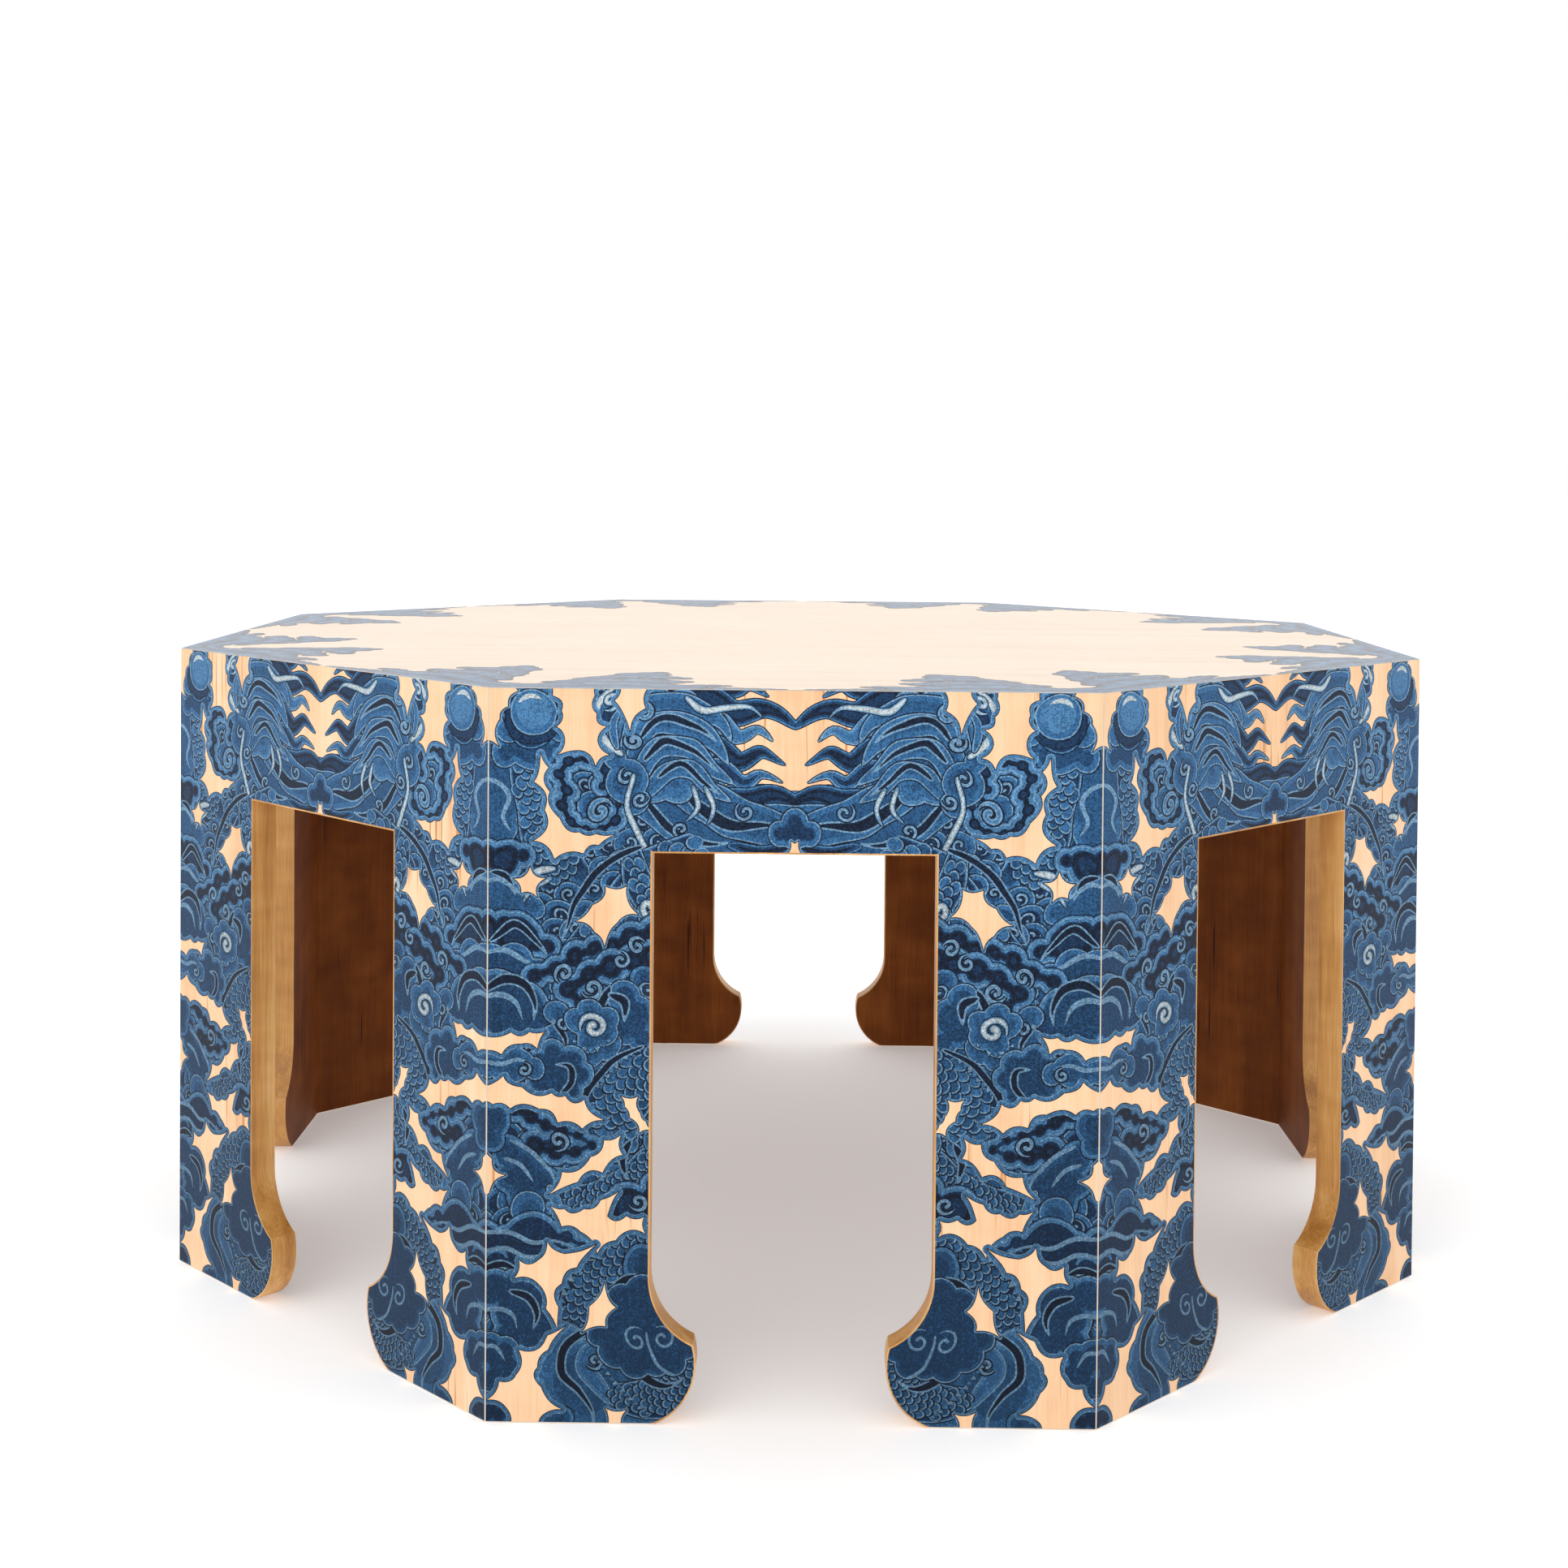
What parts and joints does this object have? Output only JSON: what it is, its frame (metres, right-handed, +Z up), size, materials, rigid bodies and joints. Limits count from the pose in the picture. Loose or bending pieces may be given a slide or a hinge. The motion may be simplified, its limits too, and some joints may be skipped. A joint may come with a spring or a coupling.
{
  "type": "octagonal coffee table",
  "caption": "Low octagonal table of mitred veneered panels, each side cut away into an apron and legs with coved feet, printed all over with blue clouds and scales.",
  "frame": {"origin": "on the floor, under the middle of the top", "axes": "+Z up; the front side faces -Y and the right side +X, so four of the eight sides are square to X and Y"},
  "size_m": [0.9144, 0.9144, 0.4572],
  "materials": {
    "printed_maple": "satin lacquer over blue printed decoration",
    "clear_maple": "clear satin lacquer",
    "stained_maple": "brown stain, satin lacquer",
    "plywood": "unfinished birch plywood",
    "nylon": "matt moulded nylon"
  },
  "bodies": {
    "root": {"top_core": "plywood", "top_face_veneer": "printed_maple", "top_under_veneer": "stained_maple", "side_core_front": "plywood", "side_core_front_right": "plywood", "side_core_right": "plywood", "side_core_back_right": "plywood", "side_core_back": "plywood", "side_core_back_left": "plywood", "side_core_left": "plywood", "side_core_front_left": "plywood", "face_veneer_front": "printed_maple", "face_veneer_front_right": "printed_maple", "face_veneer_right": "printed_maple", "face_veneer_back_right": "printed_maple", "face_veneer_back": "printed_maple", "face_veneer_back_left": "printed_maple", "face_veneer_left": "printed_maple", "face_veneer_front_left": "printed_maple", "inner_veneer_front": "stained_maple", "inner_veneer_front_right": "stained_maple", "inner_veneer_right": "stained_maple", "inner_veneer_back_right": "stained_maple", "inner_veneer_back": "stained_maple", "inner_veneer_back_left": "stained_maple", "inner_veneer_left": "stained_maple", "inner_veneer_front_left": "stained_maple", "edge_band_front": "clear_maple", "edge_band_front_right": "clear_maple", "edge_band_right": "clear_maple", "edge_band_back_right": "clear_maple", "edge_band_back": "clear_maple", "edge_band_back_left": "clear_maple", "edge_band_left": "clear_maple", "edge_band_front_left": "clear_maple", "corner_spline_front": "plywood", "corner_spline_front_right": "plywood", "corner_spline_right": "plywood", "corner_spline_back_right": "plywood", "corner_spline_back": "plywood", "corner_spline_back_left": "plywood", "corner_spline_left": "plywood", "corner_spline_front_left": "plywood", "top_spline_front": "plywood", "top_spline_front_right": "plywood", "top_spline_right": "plywood", "top_spline_back_right": "plywood", "top_spline_back": "plywood", "top_spline_back_left": "plywood", "top_spline_left": "plywood", "top_spline_front_left": "plywood", "glue_blocks": "stained_maple", "floor_glides": "nylon"}
  },
  "joints": []
}
